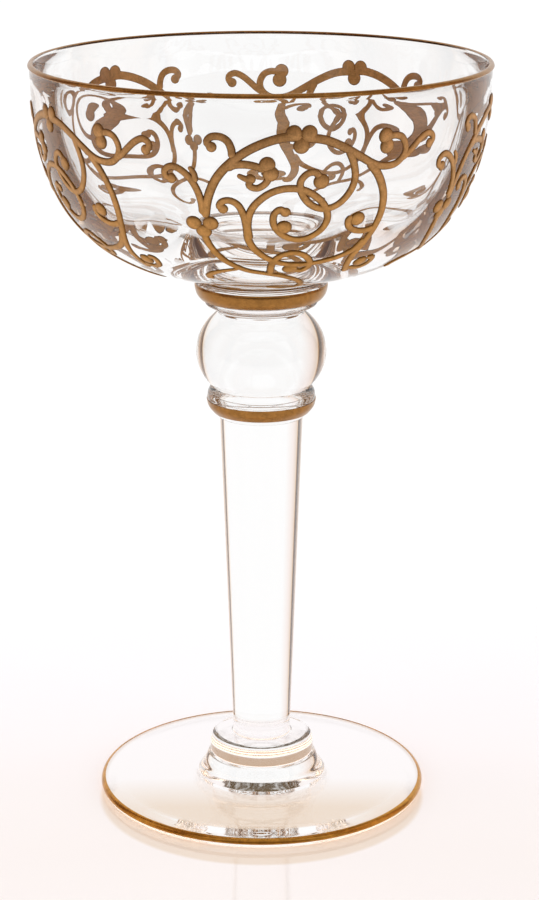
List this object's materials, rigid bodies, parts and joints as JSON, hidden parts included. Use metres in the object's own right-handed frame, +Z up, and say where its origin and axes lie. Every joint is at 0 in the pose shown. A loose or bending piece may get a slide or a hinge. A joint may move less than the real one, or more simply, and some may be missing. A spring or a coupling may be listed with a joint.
{
  "type": "sherbet glass",
  "caption": "Footed sherbet or champagne coupe in clear crystal: round bowl with a gilt rim and gilt scrollwork, ball and ring knopped stem, and a flat round foot with a gilt edge.",
  "frame": {"origin": "on the table, under the centre of the foot", "axes": "+Z up along the stem's axis, through the middle of the bowl; -Y towards the picture's viewer, and +X to the viewer's right"},
  "size_m": [0.1044, 0.1046, 0.175],
  "materials": {
    "crystal": "clear, fire-polished and polished lead crystal",
    "gilding": "satin fired gold, slightly raised"
  },
  "bodies": {
    "root": {"foot": "crystal", "foot_gilding": "gilding", "lower_base_step": "crystal", "upper_base_step": "crystal", "stem_shaft": "crystal", "stem_ring": "crystal", "ring_gilding": "gilding", "ball_knop": "crystal", "upper_collar": "crystal", "collar_gilding": "gilding", "bowl": "crystal", "rim_gilding": "gilding", "scroll_1": "gilding", "scroll_2": "gilding", "scroll_3": "gilding", "scroll_4": "gilding", "scroll_5": "gilding"}
  },
  "joints": []
}
